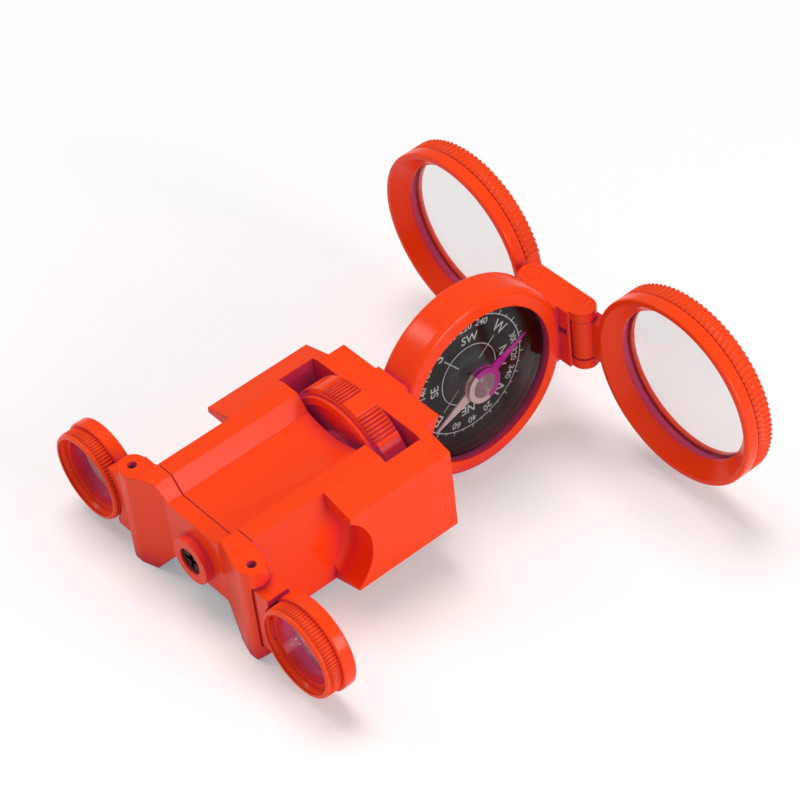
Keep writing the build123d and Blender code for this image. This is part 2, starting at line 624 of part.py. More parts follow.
def main():
    os.makedirs("parts", exist_ok=True)
    save("main_body", main_body())
    save("compass_frame", compass_frame())
    save("frame_screws", frame_screws())
    save("objective_hinge_pins", objective_pins())
    save("compass_cup", compass_cup())
    save("compass_dial", compass_dial())
    save("compass_cover", compass_cover())
    save("pivot_pin", pivot_pin())
    save("needle_north", blade(NEEDLE_ANGLE))
    save("needle_south", blade(NEEDLE_ANGLE + 180))
    save("needle_hub", needle_hub())
    save("focus_wheel", focus_wheel())
    save("eyepiece_bar", eyepiece_bar())
    save("focus_rod", focus_rod())
    save("eyepiece_hinge_pins", eyepiece_pins())
    pieces = {
        "eyepiece_holder": eyepiece_holder, "eyepiece_collar": eyepiece_collar,
        "eyepiece_lens": eyepiece_lens, "objective_holder": objective_holder,
        "objective_bezel": objective_bezel, "objective_lens": objective_lens}
    for name, make in pieces.items():
        right = make()
        save(f"right_{name}", right)
        save(f"left_{name}", mirrored(right))


main()
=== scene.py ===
import math

import bmesh
import bpy
from mathutils import Matrix, Vector


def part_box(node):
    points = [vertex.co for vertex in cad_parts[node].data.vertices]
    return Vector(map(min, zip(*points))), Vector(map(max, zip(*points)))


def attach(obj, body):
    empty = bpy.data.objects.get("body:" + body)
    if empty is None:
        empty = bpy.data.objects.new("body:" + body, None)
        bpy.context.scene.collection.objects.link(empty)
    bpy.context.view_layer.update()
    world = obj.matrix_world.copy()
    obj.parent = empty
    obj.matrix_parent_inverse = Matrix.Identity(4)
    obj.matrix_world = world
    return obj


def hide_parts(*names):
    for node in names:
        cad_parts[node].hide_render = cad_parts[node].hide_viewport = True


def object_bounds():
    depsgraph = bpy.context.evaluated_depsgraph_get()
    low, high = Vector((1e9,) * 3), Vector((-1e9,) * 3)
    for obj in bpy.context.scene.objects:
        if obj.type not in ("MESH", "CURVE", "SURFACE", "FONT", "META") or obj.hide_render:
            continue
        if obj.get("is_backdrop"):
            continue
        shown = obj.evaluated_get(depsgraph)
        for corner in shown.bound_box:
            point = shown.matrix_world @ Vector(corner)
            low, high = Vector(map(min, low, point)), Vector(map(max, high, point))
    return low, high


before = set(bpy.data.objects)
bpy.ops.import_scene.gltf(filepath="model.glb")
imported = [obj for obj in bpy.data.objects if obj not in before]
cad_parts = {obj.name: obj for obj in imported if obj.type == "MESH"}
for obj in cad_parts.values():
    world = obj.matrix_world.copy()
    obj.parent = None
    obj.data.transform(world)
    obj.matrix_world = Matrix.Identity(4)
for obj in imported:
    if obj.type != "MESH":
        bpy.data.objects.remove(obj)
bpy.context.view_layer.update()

# Pocket folding field glass with a compass standing on edge between the objectives.
# Every size below is in millimetres and MM turns it into metres.
MM = 0.001
scene = bpy.context.scene
scene.view_settings.view_transform = "Standard"


# ---------------------------------------------------------------- camera
# Looks down on the eyepiece end from the user's right, with the compass face in view.
camera_data = bpy.data.cameras.new("camera")
camera_data.sensor_width = 36
camera_data.lens = 135.37
camera_data.clip_start = 0.01
camera = bpy.data.objects.new("camera", camera_data)
scene.collection.objects.link(camera)
camera_right = Vector((0.7560, -0.6483, -0.0906)).normalized()
camera_forward = Vector((0.4226, 0.5891, -0.6887)).normalized()
camera_up = camera_right.cross(camera_forward).normalized()
camera_axes = Matrix((camera_right, camera_up, -camera_forward)).transposed()
camera.rotation_mode = "QUATERNION"
camera.rotation_quaternion = camera_axes.to_quaternion()
camera.location = Vector((-233.84, -329.67, 390.64)) * MM
scene.camera = camera


# ---------------------------------------------------------------- moulded shell
# Body, compass frame, eyepiece bar and the rings' holders are injection-moulded in
# glossy orange ABS. Its edges are softly broken and its faces ripple a little.
def colour(hex_code):
    """Linear RGBA of an sRGB hex value."""
    values = [int(hex_code[i:i + 2], 16) / 255 for i in (0, 2, 4)]
    return [v / 12.92 if v <= 0.04045 else ((v + 0.055) / 1.055) ** 2.4 for v in values] + [1]


def node(tree, kind, inputs=None, **settings):
    """Adds a node: settings are its own properties, inputs are values or sockets to link."""
    made = tree.nodes.new(kind)
    for name, value in settings.items():
        setattr(made, name, value)
    for key, value in (inputs or {}).items():
        if isinstance(value, bpy.types.NodeSocket):
            tree.links.new(value, made.inputs[key])
        else:
            made.inputs[key].default_value = value
    return made


def new_material(name):
    """An empty material and its node tree."""
    made = bpy.data.materials.new(name)
    made.use_nodes = True
    made.node_tree.nodes.clear()
    return made, made.node_tree


def moulded_abs(name, lit, recess_painted_shade, deepest_painted_shade, roughness, painted_shade_reach_mm):
    """ABS off a polished tool: slow sink ripple, a fine skin, and painted shade: the colour
    deepens from open faces into recesses, driven by ambient occlusion."""
    made, tree = new_material(name)
    place = node(tree, "ShaderNodeTexCoord").outputs["Object"]
    ripple = node(tree, "ShaderNodeTexNoise", {
        "Vector": place, "Scale": 1 / (6 * MM), "Detail": 1.0})
    skin = node(tree, "ShaderNodeTexNoise", {
        "Vector": place, "Scale": 1 / (0.5 * MM), "Detail": 3.0})
    edge = node(tree, "ShaderNodeBevel", {"Radius": 0.3 * MM}, samples=6)
    low = node(tree, "ShaderNodeBump", {
        "Height": ripple.outputs[0], "Strength": 0.25, "Distance": 0.05 * MM,
        "Normal": edge.outputs["Normal"]})
    fine = node(tree, "ShaderNodeBump", {
        "Height": skin.outputs[0], "Strength": 0.1, "Distance": 0.01 * MM,
        "Normal": low.outputs["Normal"]})
    # Painted shade: ambient occlusion shifts the colour to the recess and deepest tones in hollows.
    painted_shade_occlusion = node(tree, "ShaderNodeAmbientOcclusion", {"Distance": painted_shade_reach_mm * MM}, samples=12)
    shallow_painted_shade_mask = node(tree, "ShaderNodeMapRange", {
        "Value": painted_shade_occlusion.outputs["AO"], "From Min": 0.3, "From Max": 0.8,
        "To Min": 1.0, "To Max": 0.0})
    deep_painted_shade_mask = node(tree, "ShaderNodeMapRange", {
        "Value": painted_shade_occlusion.outputs["AO"], "From Min": 0.05, "From Max": 0.4,
        "To Min": 1.0, "To Max": 0.0})
    first = node(tree, "ShaderNodeMix", {
        0: shallow_painted_shade_mask.outputs[0], 6: colour(lit), 7: colour(recess_painted_shade)}, data_type="RGBA")
    shade = node(tree, "ShaderNodeMix", {
        0: deep_painted_shade_mask.outputs[0], 6: first.outputs[2], 7: colour(deepest_painted_shade)}, data_type="RGBA")
    gloss = node(tree, "ShaderNodeMapRange", {
        "Value": skin.outputs[0], "From Min": 0.3, "From Max": 0.7,
        "To Min": roughness - 0.03, "To Max": roughness + 0.04})
    shader = node(tree, "ShaderNodeBsdfPrincipled", {
        "Base Color": shade.outputs[2], "Roughness": gloss.outputs[0], "IOR": 1.54,
        "Specular IOR Level": 0.22, "Normal": fine.outputs["Normal"]})
    node(tree, "ShaderNodeOutputMaterial", {"Surface": shader.outputs[0]})
    return made


# Glossy orange-red ABS: soft highlights on open faces; painted shade turns shallow recesses
# crimson and the deepest pink-purple.
orange_abs = moulded_abs("orange_abs_moulded", "FF4512", "DC2C54", "E866A4", 0.2, 8)


def finish_cad(material, *names):
    """Gives CAD nodes a finish; their shape stays as it is."""
    for name in names:
        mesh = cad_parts[name].data
        mesh.materials.clear()
        mesh.materials.append(material)


finish_cad(orange_abs, "main_body", "compass_frame", "eyepiece_bar",
           "right_eyepiece_holder", "left_eyepiece_holder",
           "right_objective_holder", "left_objective_holder")


# ---------------------------------------------------------------- screws and pins
# Self-tapping frame screws and the eyepiece hinge pins are zinc-plated steel with a fine
# drawn grain; the objective hinge pins are moulded in the shell's own orange.
def plated_steel(name, tint, grain_mm):
    """Bright zinc over drawn wire: near-white metal whose gloss breaks along the grain."""
    made, tree = new_material(name)
    place = node(tree, "ShaderNodeTexCoord").outputs["Object"]
    grain = node(tree, "ShaderNodeTexNoise", {
        "Vector": place, "Scale": 1 / (grain_mm * MM), "Detail": 2.0})
    gloss = node(tree, "ShaderNodeMapRange", {
        "Value": grain.outputs[0], "To Min": 0.2, "To Max": 0.5})
    tone = node(tree, "ShaderNodeMix", {
        0: grain.outputs[0], 6: colour(tint), 7: colour("7C7F84")}, data_type="RGBA")
    relief = node(tree, "ShaderNodeBump", {
        "Height": grain.outputs[0], "Strength": 0.3, "Distance": 0.02 * MM})
    shader = node(tree, "ShaderNodeBsdfPrincipled", {
        "Base Color": tone.outputs[2], "Metallic": 1.0, "Roughness": gloss.outputs[0],
        "Normal": relief.outputs["Normal"]})
    node(tree, "ShaderNodeOutputMaterial", {"Surface": shader.outputs[0]})
    return made


# Zinc-plated steel wire: bright silver with a broken gloss.
zinc_steel = plated_steel("zinc_plated_steel", "B9BBC0", 0.25)
finish_cad(zinc_steel, "frame_screws", "eyepiece_hinge_pins", "pivot_pin")
finish_cad(orange_abs, "objective_hinge_pins")


# ---------------------------------------------------------------- focus rod
# Black nylon screw rod with a cross recess, pressed into the bar's boss. It carries the
# bar in and out as the wheel turns.

# Moulded nylon: near-black, a little duller than the shell; painted shade darkens it
# further in recesses.
black_nylon = moulded_abs("black_nylon_moulded", "1B1D1F", "101113", "060607", 0.3, 3)
finish_cad(black_nylon, "focus_rod")


# ---------------------------------------------------------------- knurled rings
# The eyepiece collars and objective bezels are turned-looking orange mouldings whose grip
# is a row of round ribs along the axis, left off beside the hinge on the objectives.
def lathe(profile, axis, centre, segments, radius_at=None):
    """Closed turned mesh: profile holds (distance along the axis, radius) in millimetres."""
    points = []
    faces = []
    count = len(profile)
    for i in range(segments):
        angle = 2 * math.pi * i / segments
        for along, radius in profile:
            r = radius_at(angle, along, radius) if radius_at else radius
            a, b = r * math.cos(angle), r * math.sin(angle)
            x, y, z = (along, a, b) if axis == "X" else (a, along, b)
            points.append(((centre[0] + x) * MM, (centre[1] + y) * MM, (centre[2] + z) * MM))
    for i in range(segments):
        here, there = i * count, (i + 1) % segments * count
        for k in range(count):
            n = (k + 1) % count
            faces.append((here + k, here + n, there + n, there + k))
    mesh = bpy.data.meshes.new("turned")
    mesh.from_pydata(points, [], faces)
    close_and_smooth(mesh)
    return mesh


def close_and_smooth(mesh, angle=32):
    """Merges doubles, turns faces outwards and keeps edges over the angle sharp."""
    shell = bmesh.new()
    shell.from_mesh(mesh)
    bmesh.ops.remove_doubles(shell, verts=shell.verts, dist=1e-7)
    bmesh.ops.recalc_face_normals(shell, faces=shell.faces)
    shell.to_mesh(mesh)
    shell.free()
    mesh.shade_smooth()
    mesh.set_sharp_from_angle(angle=math.radians(angle))


def rib_tree():
    """Rows of round ribs along X, in groups round a ring, joined to the ring itself."""
    tree = bpy.data.node_groups.new("ribs_round_a_ring", "GeometryNodeTree")
    face = tree.interface
    face.new_socket("Geometry", in_out="INPUT", socket_type="NodeSocketGeometry")
    for name, kind, value in (
            ("Groups", "Int", 1), ("Ribs in a group", "Int", 60),
            ("Group pitch", "Float", 0.0), ("Rib pitch", "Float", 0.1),
            ("First rib", "Float", 0.0), ("Crest radius", "Float", 0.01),
            ("Rib half width", "Float", 0.0003), ("Rib length", "Float", 0.003),
            ("Middle", "Vector", (0, 0, 0))):
        face.new_socket(name, in_out="INPUT", socket_type="NodeSocket" + kind).default_value = value
    face.new_socket("Finish", in_out="INPUT", socket_type="NodeSocketMaterial")
    face.new_socket("Geometry", in_out="OUTPUT", socket_type="NodeSocketGeometry")
    given = node(tree, "NodeGroupInput").outputs

    def maths(operation, a, b=0.0):
        return node(tree, "ShaderNodeMath", {0: a, 1: b}, operation=operation).outputs[0]

    index = node(tree, "GeometryNodeInputIndex").outputs[0]
    each = given["Ribs in a group"]
    group = maths("FLOOR", maths("DIVIDE", maths("ADD", index, 0.5), each))
    within = maths("SUBTRACT", index, maths("MULTIPLY", group, each))
    turned = maths("ADD", maths("MULTIPLY", group, given["Group pitch"]),
                   maths("MULTIPLY", within, given["Rib pitch"]))
    angle = maths("ADD", turned, given["First rib"])
    radius = maths("SUBTRACT", given["Crest radius"], given["Rib half width"])
    spot = node(tree, "ShaderNodeCombineXYZ", {
        1: maths("MULTIPLY", radius, maths("COSINE", angle)),
        2: maths("MULTIPLY", radius, maths("SINE", angle))}).outputs[0]
    place = node(tree, "ShaderNodeVectorMath", {
        0: spot, 1: given["Middle"]}, operation="ADD").outputs[0]
    points = node(tree, "GeometryNodePoints", {
        "Count": maths("MULTIPLY", given["Groups"], each), "Position": place}).outputs[0]
    rod = node(tree, "GeometryNodeMeshCylinder", {
        "Vertices": 8, "Radius": given["Rib half width"],
        "Depth": given["Rib length"]}).outputs["Mesh"]
    laid = node(tree, "GeometryNodeTransform", {
        "Geometry": rod, "Rotation": (0, math.pi / 2, 0)}).outputs[0]
    smooth = node(tree, "GeometryNodeSetShadeSmooth", {"Geometry": laid}).outputs[0]
    turn = node(tree, "ShaderNodeCombineXYZ", {0: angle}).outputs[0]
    ribs = node(tree, "GeometryNodeInstanceOnPoints", {
        "Points": points, "Instance": smooth, "Rotation": turn}).outputs[0]
    both = node(tree, "GeometryNodeJoinGeometry").inputs[0]
    tree.links.new(given["Geometry"], both)
    tree.links.new(ribs, both)
    real = node(tree, "GeometryNodeRealizeInstances", {
        "Geometry": both.node.outputs[0]}).outputs[0]
    done = node(tree, "GeometryNodeSetMaterial", {
        "Geometry": real, "Material": given["Finish"]}).outputs[0]
    node(tree, "NodeGroupOutput", {0: done})
    return tree


rib_rows = rib_tree()


def place_piece(name, mesh, body, nodes=(), material=None):
    """A finished mesh becomes a piece of the object."""
    mesh.name = name
    if material:
        mesh.materials.clear()
        mesh.materials.append(material)
    piece = bpy.data.objects.new(name, mesh)
    scene.collection.objects.link(piece)
    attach(piece, body)
    if nodes:
        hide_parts(*nodes)
    return piece


def through_tree(mesh, tree, values):
    """Runs a mesh through a node tree and returns the plain result."""
    blank = bpy.data.objects.new("blank", mesh)
    scene.collection.objects.link(blank)
    modifier = blank.modifiers.new("tree", "NODES")
    modifier.node_group = tree
    for item in tree.interface.items_tree:
        if item.in_out == "INPUT" and item.name in values:
            modifier[item.identifier] = values[item.name]
    graph = bpy.context.evaluated_depsgraph_get()
    result = bpy.data.meshes.new_from_object(blank.evaluated_get(graph), depsgraph=graph)
    bpy.data.objects.remove(blank)
    return result


def box_mm(name):
    low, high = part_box(name)
    return low / MM, high / MM


def middle_of(name):
    low, high = box_mm(name)
    return (low + high) / 2


# The same ABS on the ribs: bright crests between shallow grooves, which painted shade
# turns deeper red and crimson.
knurled_abs = moulded_abs("orange_abs_knurled", "FF4B18", "E63624", "C8284A", 0.22, 2)
COLLAR_RIBS = 84
COLLAR_GROOVE = 0.24            # the ribs stand this far out of the collar
COLLAR_LIP = 0.7                # flat face before the bore's flare
COLLAR_RIB = 0.22               # half a rib's width
COLLAR_NOSE = 0.75              # smooth and rounded ahead of the ribs
COLLAR_SPIGOT = 1.0             # the holder's spigot round the lens
for side in ("right", "left"):
    low, high = box_mm(f"{side}_eyepiece_collar")
    outer = (high.z - low.z) / 2
    lens_low, lens_high = box_mm(f"{side}_eyepiece_lens")
    bore = (lens_high.z - lens_low.z) / 2 + COLLAR_SPIGOT
    start, end = 0.0, high.x - low.x
    root = outer - COLLAR_GROOVE
    profile = [(COLLAR_NOSE, root), (COLLAR_NOSE - 0.08, outer - 0.08), (0.42, outer - 0.1),
               (0.2, outer - 0.2), (0.06, outer - 0.36), (start, outer - 0.55),
               (start, outer - COLLAR_LIP - 0.1), (0.1, outer - COLLAR_LIP - 0.25),
               (0.5, bore + 0.5), (1.0, bore + 0.2), (1.5, bore), (end, bore), (end, root)]
    centre = (low.x, (low.y + high.y) / 2, (low.z + high.z) / 2)
    ring = lathe(profile, "X", centre, 144)
    length = end - COLLAR_NOSE
    ribbed = through_tree(ring, rib_rows, {
        "Groups": 1, "Ribs in a group": COLLAR_RIBS, "Rib pitch": 2 * math.pi / COLLAR_RIBS,
        "First rib": 0.0, "Crest radius": outer * MM, "Rib half width": COLLAR_RIB * MM,
        "Rib length": length * MM,
        "Middle": ((low.x + COLLAR_NOSE + length / 2) * MM, centre[1] * MM, centre[2] * MM),
        "Finish": knurled_abs})
    place_piece(f"{side}_eyepiece_knurled_collar", ribbed, f"{side}_eyepiece",
                [f"{side}_eyepiece_collar"])

BEZEL_RIBS = 104                # ribs in a full turn; some are left off beside the hinge
BEZEL_BARE = 9
BEZEL_GROOVE = 0.24             # the ribs stand this far out of the bezel
BEZEL_RIB = 0.34                # half a rib's width
BEZEL_LEDGE = 0.7               # covers the lens's edge
BEZEL_SPIGOT = 1.0              # the holder's spigot round the lens
BEZEL_SEAT = 0.9                # behind the lens's middle plane
for side, hinge_angle in (("right", 0.0), ("left", math.pi)):
    low, high = box_mm(f"{side}_objective_bezel")
    outer = (high.z - low.z) / 2
    lens_low, lens_high = box_mm(f"{side}_objective_lens")
    lens_r = (lens_high.z - lens_low.z) / 2
    aperture = lens_r - BEZEL_LEDGE
    wide = lens_r + BEZEL_SPIGOT
    start, end = 0.05, high.x - low.x
    root = outer - BEZEL_GROOVE
    step = (lens_low.x + lens_high.x) / 2 - low.x + BEZEL_SEAT
    profile = [(start, root), (start, wide), (step, wide), (step, aperture),
               (end - 0.5, aperture), (end - 0.2, aperture + 0.12), (end, aperture + 0.45),
               (end, root - 0.55), (end - 0.12, root - 0.22), (end - 0.4, root)]
    centre = (low.x, (low.y + high.y) / 2, (low.z + high.z) / 2)
    ring = lathe(profile, "X", centre, 208)
    length = end - start - 0.2
    pitch = 2 * math.pi / BEZEL_RIBS
    ribbed = through_tree(ring, rib_rows, {
        "Groups": 1, "Ribs in a group": BEZEL_RIBS - BEZEL_BARE, "Rib pitch": pitch,
        "First rib": hinge_angle + pitch * (BEZEL_BARE + 1) / 2, "Crest radius": outer * MM,
        "Rib half width": BEZEL_RIB * MM, "Rib length": length * MM,
        "Middle": ((low.x + start + length / 2) * MM, centre[1] * MM, centre[2] * MM),
        "Finish": knurled_abs})
    place_piece(f"{side}_objective_knurled_bezel", ribbed, f"{side}_objective",
                [f"{side}_objective_bezel"])


# ---------------------------------------------------------------- lenses
# Biconvex lenses moulded in optical acrylic and polished by the tool; a faint cool tint,
# and the edge in its groove stays clear.
ACRYLIC_IOR = 1.49


def clear_acrylic(name, through, sheen, ripple, roughness):
    """Clear acrylic: what stands behind shows through, under a polished skin that reflects
    more at a slant and carries a trace of moulding flow. The index is turned over on the
    far face, so that it doesn't mirror from inside."""
    made, tree = new_material(name)
    place = node(tree, "ShaderNodeTexCoord").outputs["Object"]
    flow = node(tree, "ShaderNodeTexNoise", {
        "Vector": place, "Scale": 1 / (5 * MM), "Detail": 1.0})
    relief = node(tree, "ShaderNodeBump", {
        "Height": flow.outputs[0], "Strength": 0.1, "Distance": 0.05 * MM})
    tone = node(tree, "ShaderNodeMix", {
        0: flow.outputs[0], 6: colour(sheen), 7: colour(ripple)}, data_type="RGBA")
    skin = node(tree, "ShaderNodeBsdfPrincipled", {
        "Base Color": tone.outputs[2], "Metallic": 1.0, "Roughness": roughness,
        "Normal": relief.outputs["Normal"]})
    clear = node(tree, "ShaderNodeBsdfTransparent", {"Color": colour(through)})
    facing = node(tree, "ShaderNodeNewGeometry").outputs["Backfacing"]
    index = node(tree, "ShaderNodeMapRange", {
        "Value": facing, "To Min": ACRYLIC_IOR, "To Max": 1 / ACRYLIC_IOR})
    slant = node(tree, "ShaderNodeFresnel", {
        "IOR": index.outputs[0], "Normal": relief.outputs["Normal"]})
    both = node(tree, "ShaderNodeMixShader", {
        0: slant.outputs[0], 1: clear.outputs[0], 2: skin.outputs[0]})
    node(tree, "ShaderNodeOutputMaterial", {"Surface": both.outputs[0]})
    return made


# Optical acrylic: what lies behind shows almost unchanged, with a clean reflection.
lens_acrylic = clear_acrylic("optical_acrylic_polished", "F5F6F6", "FFFFFF", "DDE2E4", 0.02)
finish_cad(lens_acrylic, "right_eyepiece_lens", "left_eyepiece_lens",
           "right_objective_lens", "left_objective_lens")


# ---------------------------------------------------------------- focus wheel
# Orange ABS thumb wheel: nine groups of seven grip ribs between smooth pads, a thin guide
# flange on the eyepiece side, and a hub that turns on the focus rod.
WHEEL_GROUPS = 9
WHEEL_RIBS = 7
WHEEL_RIB_PITCH = math.radians(3.2)
WHEEL_FIRST = math.radians(72.4)
WHEEL_GROOVE = 0.42             # the crests and pads stand this far out
WHEEL_RIB = 0.3                 # half a rib's width
RIB_START = 1.2                 # ribs begin behind the flange
RIB_END = 0.35                  # and stop short of the far edge
WHEEL_SPIGOT = 1.6              # the hub stands out from the rim at both ends
HUB_R = 5.0
HUB_COLLAR = 1.2                # web left full round the hub
ROD_BORE_R = 2.86
PAD_MARGIN = math.radians(1.8)  # from the last rib's middle to the pad's slope
PAD_SLOPE = math.radians(1.4)
FLANGE_SETBACK = 1.1            # bright guide flange on the eyepiece side
RIM_WALL = 2.8
WEB_DEPTH = 0.7                 # the web lies this far inside the rim
wheel_low, wheel_high = box_mm("focus_wheel")
wheel_r = (wheel_high.z - wheel_low.z) / 2
rim_front = wheel_low.x + WHEEL_SPIGOT
rim_rear = wheel_high.x - WHEEL_SPIGOT
group_pitch = 2 * math.pi / WHEEL_GROUPS
half_ribs = WHEEL_RIB_PITCH * (WHEEL_RIBS - 1) / 2
group_middle = WHEEL_FIRST + half_ribs


def pad_radius(angle, along, radius):
    """Between the rib groups the rim swells to a smooth pad, level with the ribs' crests."""
    if radius < wheel_r - WHEEL_GROOVE - 0.01:
        return radius
    off = (angle - group_middle + group_pitch / 2) % group_pitch - group_pitch / 2
    rise = min(max((abs(off) - half_ribs - PAD_MARGIN) / PAD_SLOPE, 0), 1)
    return radius + WHEEL_GROOVE * rise


root = wheel_r - WHEEL_GROOVE
width = rim_rear - rim_front
flange = wheel_r - FLANGE_SETBACK
inner_rim = wheel_r - RIM_WALL
web_edge = HUB_R + HUB_COLLAR
web_rear = width - WEB_DEPTH
hub_end = width + WHEEL_SPIGOT
profile = [
    (0.0, HUB_R), (0.0, web_edge), (WEB_DEPTH, web_edge), (WEB_DEPTH, inner_rim),
    (0.0, inner_rim), (0.0, flange - 0.15), (0.12, flange), (0.5, flange),
    (0.62, flange - 0.3), (0.95, flange - 0.3), (1.0, root - 0.4), (1.15, root - 0.2),
    (1.35, root), (2.6, root), (width - 1.4, root), (width - 0.35, root),
    (width - 0.1, root - 0.15), (width, root - 0.4), (width, inner_rim),
    (web_rear, inner_rim), (web_rear, web_edge), (width, web_edge),
    (width, HUB_R), (hub_end - 0.2, HUB_R), (hub_end, HUB_R - 0.2), (hub_end, ROD_BORE_R),
    (-WHEEL_SPIGOT, ROD_BORE_R), (-WHEEL_SPIGOT, HUB_R - 0.2), (0.2 - WHEEL_SPIGOT, HUB_R)]
wheel_centre = (rim_front, (wheel_low.y + wheel_high.y) / 2, (wheel_low.z + wheel_high.z) / 2)
wheel_mesh = lathe(profile, "X", wheel_centre, 450, pad_radius)
rib_length = width - RIB_START - RIB_END
ribbed = through_tree(wheel_mesh, rib_rows, {
    "Groups": WHEEL_GROUPS, "Ribs in a group": WHEEL_RIBS, "Group pitch": group_pitch,
    "Rib pitch": WHEEL_RIB_PITCH, "First rib": WHEEL_FIRST, "Crest radius": wheel_r * MM,
    "Rib half width": WHEEL_RIB * MM, "Rib length": rib_length * MM,
    "Middle": ((rim_front + RIB_START + rib_length / 2) * MM,
               wheel_centre[1] * MM, wheel_centre[2] * MM),
    "Finish": orange_abs})
place_piece("ribbed_focus_wheel", ribbed, "focus_wheel", ["focus_wheel"])


# ---------------------------------------------------------------- compass capsule
# A clear acrylic cup holds the dial and is closed by a domed clear cover; the case's bore
# shows through its wall.

# Smoky acrylic darkens the orange behind the cup; the cover is clear with a thin grey sheen.
capsule_acrylic = clear_acrylic("capsule_acrylic_smoky", "9C8E94", "B8B4B6", "8C888A", 0.06)
cover_acrylic = clear_acrylic("cover_acrylic_clear", "F4F6F6", "A8ADAF", "8E9395", 0.02)
finish_cad(capsule_acrylic, "compass_cup")
finish_cad(cover_acrylic, "compass_cover")


# ---------------------------------------------------------------- dial
# Printed card: semi-gloss black ink; a paler grey bloom in the middle is a painted reflection
# of the cover. The scale, circles and letters are printed over it in white.
dial_low, dial_high = box_mm("compass_dial")
dial_centre = (dial_low + dial_high) / 2

# Black printing on card: a fine, broken half gloss, with a painted reflection in the middle.
dial_card, tree = new_material("dial_card_printed_black")
place = node(tree, "ShaderNodeTexCoord").outputs["Object"]
from_middle = node(tree, "ShaderNodeVectorMath", {
    0: place, 1: tuple(dial_centre * MM)}, operation="SUBTRACT")
distance = node(tree, "ShaderNodeVectorMath", {0: from_middle.outputs[0]}, operation="LENGTH")
# Painted reflection: the card turns grey towards its middle, standing in for the cover's
# reflection.
painted_reflection_bloom = node(tree, "ShaderNodeMapRange", {
    "Value": distance.outputs["Value"], "From Min": 0.5 * MM, "From Max": 7.5 * MM,
    "To Min": 0.85, "To Max": 0.0}, interpolation_type="SMOOTHSTEP")
grain = node(tree, "ShaderNodeTexNoise", {
    "Vector": place, "Scale": 1 / (0.3 * MM), "Detail": 2.0})
ink = node(tree, "ShaderNodeMix", {
    0: painted_reflection_bloom.outputs[0], 6: colour("0A0F0E"), 7: colour("6A7370")}, data_type="RGBA")
ink_gloss = node(tree, "ShaderNodeMapRange", {
    "Value": grain.outputs[0], "To Min": 0.35, "To Max": 0.55})
ink_relief = node(tree, "ShaderNodeBump", {
    "Height": grain.outputs[0], "Strength": 0.05, "Distance": 0.004 * MM})
card = node(tree, "ShaderNodeBsdfPrincipled", {
    "Base Color": ink.outputs[2], "Roughness": ink_gloss.outputs[0], "Specular IOR Level": 0.3,
    "Normal": ink_relief.outputs[0]})
node(tree, "ShaderNodeOutputMaterial", {"Surface": card.outputs[0]})
finish_cad(dial_card, "compass_dial")

# White pad-printing ink: matt, and slightly uneven over the card.
white_ink, tree = new_material("white_pad_printing_ink")
place = node(tree, "ShaderNodeTexCoord").outputs["Object"]
grain = node(tree, "ShaderNodeTexNoise", {
    "Vector": place, "Scale": 1 / (0.25 * MM), "Detail": 2.0})
ink = node(tree, "ShaderNodeMix", {
    0: grain.outputs[0], 6: colour("F2F6F4"), 7: colour("C4CCC9")}, data_type="RGBA")
print_shader = node(tree, "ShaderNodeBsdfPrincipled", {
    "Base Color": ink.outputs[2], "Roughness": 0.5})
node(tree, "ShaderNodeOutputMaterial", {"Surface": print_shader.outputs[0]})

INK_THICKNESS = 0.01
INK_LIFT = 0.015                # the ink's middle ahead of the card
INK_LINE = 0.11                 # half the width of a printed line
NORTH_ANGLE = -51.4             # degrees from +X towards +Z; the scale runs clockwise from it
OUTER_CIRCLE = 13.0
INNER_CIRCLE = 6.7
FONT_SIZE = 1.4                 # font size for a capital of height 1
CARDINAL_RING, CARDINAL_HEIGHT = 10.6, 2.5
CORNER_RING, CORNER_HEIGHT = 8.5, 1.95
FIGURE_RING, FIGURE_HEIGHT = 11.5, 1.5
CARDINAL_LINE = (3.6, 8.8)
TICK_START, SHORT_TICK, LONG_TICK = -0.2, 0.5, 0.9     # from the outer circle
printed = bmesh.new()
print_face = dial_low.y - INK_LIFT


def bearing(degrees):
    """Angle in the dial's plane of a reading on the scale."""
    return math.radians(NORTH_ANGLE - degrees)


def add_to_print(mesh):
    """Joins a mesh to the one printed layer."""
    printed.from_mesh(mesh)
    bpy.data.meshes.remove(mesh)


def print_text(words, degrees, radius, height):
    """One word of the scale, its top turned outwards."""
    letters = bpy.data.curves.new("letters", "FONT")
    letters.body = words
    letters.size = height * MM * FONT_SIZE
    letters.align_x = "CENTER"
    letters.align_y = "CENTER"
    letters.extrude = INK_THICKNESS / 2 * MM
    letters.offset = 0.03 * MM
    letters.resolution_u = 3
    blank = bpy.data.objects.new("letters", letters)
    scene.collection.objects.link(blank)
    graph = bpy.context.evaluated_depsgraph_get()
    mesh = bpy.data.meshes.new_from_object(blank.evaluated_get(graph))
    bpy.data.objects.remove(blank)
    angle = bearing(degrees)
    upright = (Matrix.Rotation(math.radians(90), 4, "X")
               @ Matrix.Rotation(angle - math.pi / 2, 4, "Z"))
    spot = Vector((dial_centre.x + radius * math.cos(angle), print_face,
                   dial_centre.z + radius * math.sin(angle))) * MM
    mesh.transform(Matrix.Translation(spot) @ upright)
    add_to_print(mesh)


def print_circle(radius):
    """A printed circle round the dial's middle."""
    band = [(-INK_THICKNESS / 2, radius - INK_LINE), (-INK_THICKNESS / 2, radius + INK_LINE),
            (INK_THICKNESS / 2, radius + INK_LINE), (INK_THICKNESS / 2, radius - INK_LINE)]
    add_to_print(lathe(band, "Y", (dial_centre.x, print_face, dial_centre.z), 120))


